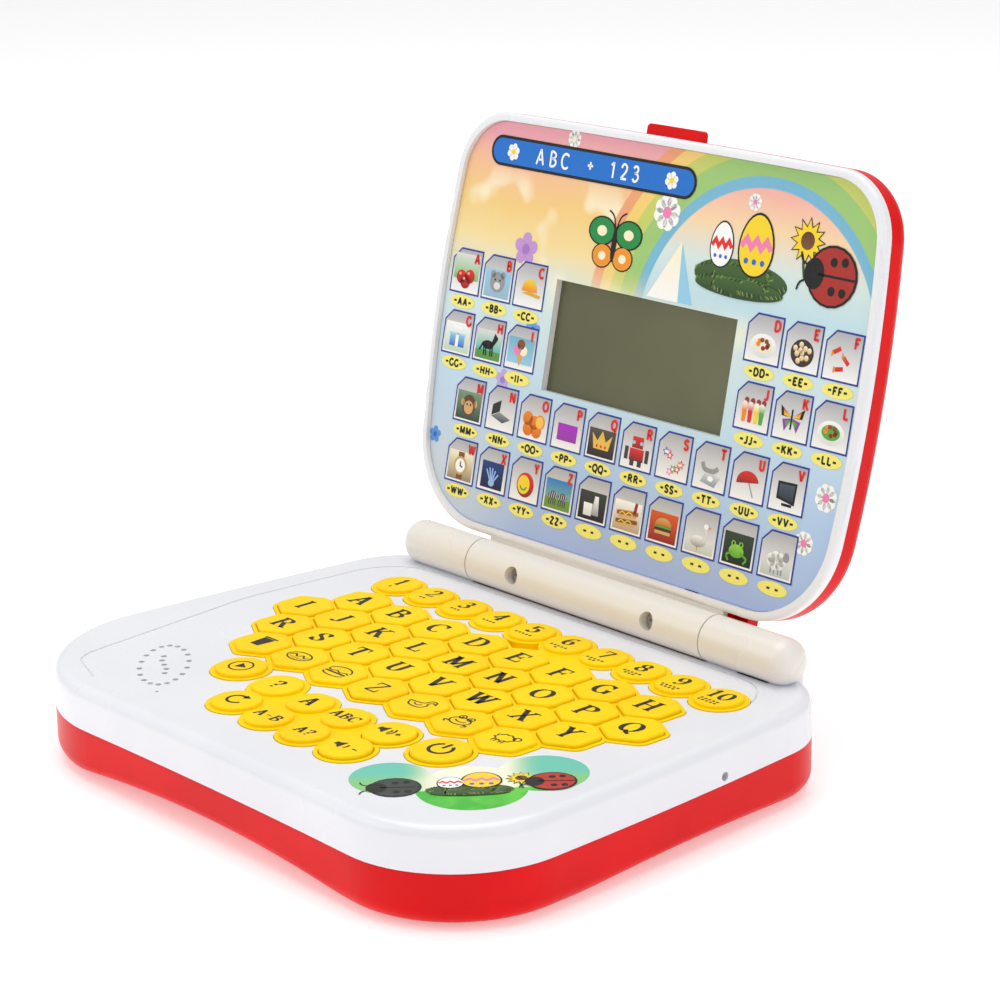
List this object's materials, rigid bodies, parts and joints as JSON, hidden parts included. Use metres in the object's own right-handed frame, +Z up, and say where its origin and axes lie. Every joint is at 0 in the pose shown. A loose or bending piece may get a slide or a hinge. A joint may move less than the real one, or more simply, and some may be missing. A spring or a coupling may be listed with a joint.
{
  "type": "toy laptop computer",
  "caption": "Child's clamshell learning computer with a rubber letter keypad, a hinged lid with a small display and picture cards, a speaker and a battery bay.",
  "frame": {"origin": "on the table under the centre of the whole object's box, lid open at its resting angle", "axes": "+Z up, +Y away from the user towards the hinge, +X to the user's right along the hinge"},
  "size_m": [0.2058, 0.188, 0.1728],
  "materials": {
    "white_shell": "glossy moulded ABS",
    "red_shell": "glossy moulded ABS",
    "keypad_rubber": "satin silicone rubber",
    "printed_sheet": "printed film with a satin face",
    "circuit_board": "satin solder mask",
    "screw_steel": "zinc plated",
    "speaker_frame": "plated pressed steel",
    "speaker_magnet": "plain",
    "speaker_paper": "matt",
    "wire_insulation": "satin",
    "black_plastic": "matt",
    "bush_steel": "turned",
    "washer_nylon": "satin",
    "cell_jacket": "satin printed jacket",
    "contact_nickel": "nickel plated",
    "foot_rubber": "matt",
    "display_glass": "grey-green display glass",
    "connector_rubber": "satin"
  },
  "bodies": {
    "base": {"base_top_shell": "white_shell", "base_bottom_shell": "red_shell", "keypad_mat": "keypad_rubber", "corner_decal": "printed_sheet", "keypad_board": "circuit_board", "board_screws": "screw_steel", "case_screws": "screw_steel", "speaker_basket": "speaker_frame", "speaker_magnet": "speaker_magnet", "speaker_cone": "speaker_paper", "speaker_wires": "wire_insulation", "battery_wires": "wire_insulation", "display_cable_base": "wire_insulation", "jack_socket": "black_plastic", "hinge_bushes": "bush_steel", "hinge_washers": "washer_nylon", "battery_cells": "cell_jacket", "battery_springs": "contact_nickel", "battery_plates": "contact_nickel", "rubber_feet": "foot_rubber"},
    "lid": {"lid_front_bezel": "white_shell", "lid_rear_cover": "red_shell", "lid_label": "printed_sheet", "lcd_panel": "display_glass", "lcd_rubber_connector": "connector_rubber", "lcd_board": "circuit_board", "display_cable_lid": "wire_insulation", "lid_screws": "screw_steel", "barrel_screws": "screw_steel"},
    "battery_door": {"battery_door": "red_shell", "battery_door_screw": "screw_steel"},
    "key_a_body": {"key_a": "keypad_rubber"},
    "key_b_body": {"key_b": "keypad_rubber"},
    "key_c_body": {"key_c": "keypad_rubber"},
    "key_d_body": {"key_d": "keypad_rubber"},
    "key_e_body": {"key_e": "keypad_rubber"},
    "key_f_body": {"key_f": "keypad_rubber"},
    "key_g_body": {"key_g": "keypad_rubber"},
    "key_h_body": {"key_h": "keypad_rubber"},
    "key_i_body": {"key_i": "keypad_rubber"},
    "key_j_body": {"key_j": "keypad_rubber"},
    "key_k_body": {"key_k": "keypad_rubber"},
    "key_l_body": {"key_l": "keypad_rubber"},
    "key_m_body": {"key_m": "keypad_rubber"},
    "key_n_body": {"key_n": "keypad_rubber"},
    "key_o_body": {"key_o": "keypad_rubber"},
    "key_p_body": {"key_p": "keypad_rubber"},
    "key_q_body": {"key_q": "keypad_rubber"},
    "key_r_body": {"key_r": "keypad_rubber"},
    "key_s_body": {"key_s": "keypad_rubber"},
    "key_t_body": {"key_t": "keypad_rubber"},
    "key_u_body": {"key_u": "keypad_rubber"},
    "key_v_body": {"key_v": "keypad_rubber"},
    "key_w_body": {"key_w": "keypad_rubber"},
    "key_x_body": {"key_x": "keypad_rubber"},
    "key_y_body": {"key_y": "keypad_rubber"},
    "key_z_body": {"key_z": "keypad_rubber"},
    "key_power_body": {"key_power": "keypad_rubber"},
    "key_volume_up_body": {"key_volume_up": "keypad_rubber"},
    "key_volume_down_body": {"key_volume_down": "keypad_rubber"}
  },
  "joints": [
    {"name": "lid_hinge", "type": "hinge", "parent": "base", "child": "lid", "pos_m": [0, 0.0535, 0.0346], "axis": [1, 0, 0], "range_deg": [-6, 105]},
    {"name": "battery_door_hinge", "type": "hinge", "parent": "base", "child": "battery_door", "pos_m": [0, 0.0145, 0.0012], "axis": [1, 0, 0], "range_deg": [0, 75]},
    {"name": "key_a_press", "type": "slide", "parent": "base", "child": "key_a_body", "axis": [0, 0, -1], "range_m": [0, 0.001], "stiffness_N_per_m": 300},
    {"name": "key_b_press", "type": "slide", "parent": "base", "child": "key_b_body", "axis": [0, 0, -1], "range_m": [0, 0.001], "stiffness_N_per_m": 300},
    {"name": "key_c_press", "type": "slide", "parent": "base", "child": "key_c_body", "axis": [0, 0, -1], "range_m": [0, 0.001], "stiffness_N_per_m": 300},
    {"name": "key_d_press", "type": "slide", "parent": "base", "child": "key_d_body", "axis": [0, 0, -1], "range_m": [0, 0.001], "stiffness_N_per_m": 300},
    {"name": "key_e_press", "type": "slide", "parent": "base", "child": "key_e_body", "axis": [0, 0, -1], "range_m": [0, 0.001], "stiffness_N_per_m": 300},
    {"name": "key_f_press", "type": "slide", "parent": "base", "child": "key_f_body", "axis": [0, 0, -1], "range_m": [0, 0.001], "stiffness_N_per_m": 300},
    {"name": "key_g_press", "type": "slide", "parent": "base", "child": "key_g_body", "axis": [0, 0, -1], "range_m": [0, 0.001], "stiffness_N_per_m": 300},
    {"name": "key_h_press", "type": "slide", "parent": "base", "child": "key_h_body", "axis": [0, 0, -1], "range_m": [0, 0.001], "stiffness_N_per_m": 300},
    {"name": "key_i_press", "type": "slide", "parent": "base", "child": "key_i_body", "axis": [0, 0, -1], "range_m": [0, 0.001], "stiffness_N_per_m": 300},
    {"name": "key_j_press", "type": "slide", "parent": "base", "child": "key_j_body", "axis": [0, 0, -1], "range_m": [0, 0.001], "stiffness_N_per_m": 300},
    {"name": "key_k_press", "type": "slide", "parent": "base", "child": "key_k_body", "axis": [0, 0, -1], "range_m": [0, 0.001], "stiffness_N_per_m": 300},
    {"name": "key_l_press", "type": "slide", "parent": "base", "child": "key_l_body", "axis": [0, 0, -1], "range_m": [0, 0.001], "stiffness_N_per_m": 300},
    {"name": "key_m_press", "type": "slide", "parent": "base", "child": "key_m_body", "axis": [0, 0, -1], "range_m": [0, 0.001], "stiffness_N_per_m": 300},
    {"name": "key_n_press", "type": "slide", "parent": "base", "child": "key_n_body", "axis": [0, 0, -1], "range_m": [0, 0.001], "stiffness_N_per_m": 300},
    {"name": "key_o_press", "type": "slide", "parent": "base", "child": "key_o_body", "axis": [0, 0, -1], "range_m": [0, 0.001], "stiffness_N_per_m": 300},
    {"name": "key_p_press", "type": "slide", "parent": "base", "child": "key_p_body", "axis": [0, 0, -1], "range_m": [0, 0.001], "stiffness_N_per_m": 300},
    {"name": "key_q_press", "type": "slide", "parent": "base", "child": "key_q_body", "axis": [0, 0, -1], "range_m": [0, 0.001], "stiffness_N_per_m": 300},
    {"name": "key_r_press", "type": "slide", "parent": "base", "child": "key_r_body", "axis": [0, 0, -1], "range_m": [0, 0.001], "stiffness_N_per_m": 300},
    {"name": "key_s_press", "type": "slide", "parent": "base", "child": "key_s_body", "axis": [0, 0, -1], "range_m": [0, 0.001], "stiffness_N_per_m": 300},
    {"name": "key_t_press", "type": "slide", "parent": "base", "child": "key_t_body", "axis": [0, 0, -1], "range_m": [0, 0.001], "stiffness_N_per_m": 300},
    {"name": "key_u_press", "type": "slide", "parent": "base", "child": "key_u_body", "axis": [0, 0, -1], "range_m": [0, 0.001], "stiffness_N_per_m": 300},
    {"name": "key_v_press", "type": "slide", "parent": "base", "child": "key_v_body", "axis": [0, 0, -1], "range_m": [0, 0.001], "stiffness_N_per_m": 300},
    {"name": "key_w_press", "type": "slide", "parent": "base", "child": "key_w_body", "axis": [0, 0, -1], "range_m": [0, 0.001], "stiffness_N_per_m": 300},
    {"name": "key_x_press", "type": "slide", "parent": "base", "child": "key_x_body", "axis": [0, 0, -1], "range_m": [0, 0.001], "stiffness_N_per_m": 300},
    {"name": "key_y_press", "type": "slide", "parent": "base", "child": "key_y_body", "axis": [0, 0, -1], "range_m": [0, 0.001], "stiffness_N_per_m": 300},
    {"name": "key_z_press", "type": "slide", "parent": "base", "child": "key_z_body", "axis": [0, 0, -1], "range_m": [0, 0.001], "stiffness_N_per_m": 300},
    {"name": "key_power_press", "type": "slide", "parent": "base", "child": "key_power_body", "axis": [0, 0, -1], "range_m": [0, 0.001], "stiffness_N_per_m": 300},
    {"name": "key_volume_up_press", "type": "slide", "parent": "base", "child": "key_volume_up_body", "axis": [0, 0, -1], "range_m": [0, 0.001], "stiffness_N_per_m": 300},
    {"name": "key_volume_down_press", "type": "slide", "parent": "base", "child": "key_volume_down_body", "axis": [0, 0, -1], "range_m": [0, 0.001], "stiffness_N_per_m": 300}
  ]
}
